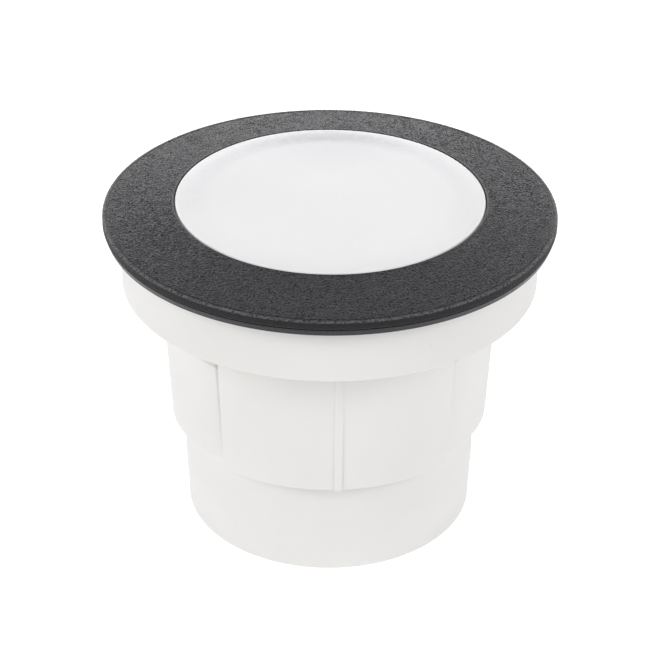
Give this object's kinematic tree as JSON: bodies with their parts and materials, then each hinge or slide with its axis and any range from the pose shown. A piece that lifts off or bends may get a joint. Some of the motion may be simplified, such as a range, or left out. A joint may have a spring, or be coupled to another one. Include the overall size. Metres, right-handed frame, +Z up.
{
  "type": "in-ground well light",
  "caption": "Round recessed ground light: stepped white body with a skirted base, frosted lens, wide grained trim ring on a bayonet, and a plug-in disc lamp inside.",
  "frame": {"origin": "on the light's axis, at the plane of the base rim", "axes": "+Z up along the light's axis, -Y to the front, where the body's narrow rib is"},
  "size_m": [0.16, 0.16, 0.1248],
  "materials": {
    "body_resin": "white moulded resin, fine satin",
    "ring_resin": "black moulded resin with a leather grain",
    "lens_opal": "frosted opal polycarbonate",
    "seal_rubber": "moulded sealing rubber",
    "reflector_white": "glossy white moulding",
    "screw_steel": "zinc-plated steel",
    "plate_grey": "pale grey moulded plate",
    "holder_resin": "heat-resistant moulding resin",
    "contact_brass": "stamped brass",
    "lamp_white": "glossy white lamp case",
    "lamp_opal": "opal diffuser",
    "spreader_alloy": "pressed aluminium",
    "led_board_white": "white solder mask on an aluminium board",
    "led_phosphor": "phosphor in a white frame",
    "driver_laminate": "green circuit laminate",
    "driver_black": "moulded component cases",
    "pin_nickel": "nickel-plated pins",
    "terminal_clear": "natural polyamide",
    "lead_brown": "brown wire insulation",
    "lead_blue": "blue wire insulation",
    "gland_nylon": "dark grey polyamide"
  },
  "bodies": {
    "body": {"lens_seal": "seal_rubber", "housing": "body_resin", "base": "body_resin", "reflector": "reflector_white", "reflector_screws": "screw_steel", "gear_plate": "plate_grey", "gear_plate_screws": "screw_steel", "lampholder": "holder_resin", "lampholder_screws": "screw_steel", "lampholder_contacts": "contact_brass", "terminal_sleeves": "contact_brass", "terminal_block": "terminal_clear", "terminal_screws": "screw_steel", "terminal_block_screws": "screw_steel", "lead_live": "lead_brown", "lead_neutral": "lead_blue", "gland_body": "gland_nylon", "gland_washer": "seal_rubber", "gland_seal": "seal_rubber", "gland_nut": "gland_nylon", "gland_locknut": "gland_nylon", "blanking_plug": "gland_nylon", "plug_washer": "seal_rubber", "plug_locknut": "gland_nylon"},
    "lens": {"lens": "lens_opal"},
    "ring": {"trim_ring": "ring_resin", "upper_seal": "seal_rubber"},
    "lamp": {"lamp_case": "lamp_white", "lamp_diffuser": "lamp_opal", "lamp_heat_spreader": "spreader_alloy", "led_board": "led_board_white", "leds": "led_phosphor", "driver_board": "driver_laminate", "driver_parts": "driver_black", "lamp_pins": "pin_nickel"}
  },
  "joints": [
    {"name": "cover_lift", "type": "slide", "parent": "body", "child": "lens", "axis": [0, 0, 1], "range_m": [0, 0.09]},
    {"name": "ring_turn", "type": "hinge", "parent": "lens", "child": "ring", "pos_m": [0, 0, 0.116], "axis": [0, 0, 1], "range_deg": [0, 28]},
    {"name": "lamp_turn", "type": "hinge", "parent": "body", "child": "lamp", "pos_m": [0, 0, 0.08], "axis": [0, 0, 1], "range_deg": [0, 15]}
  ]
}
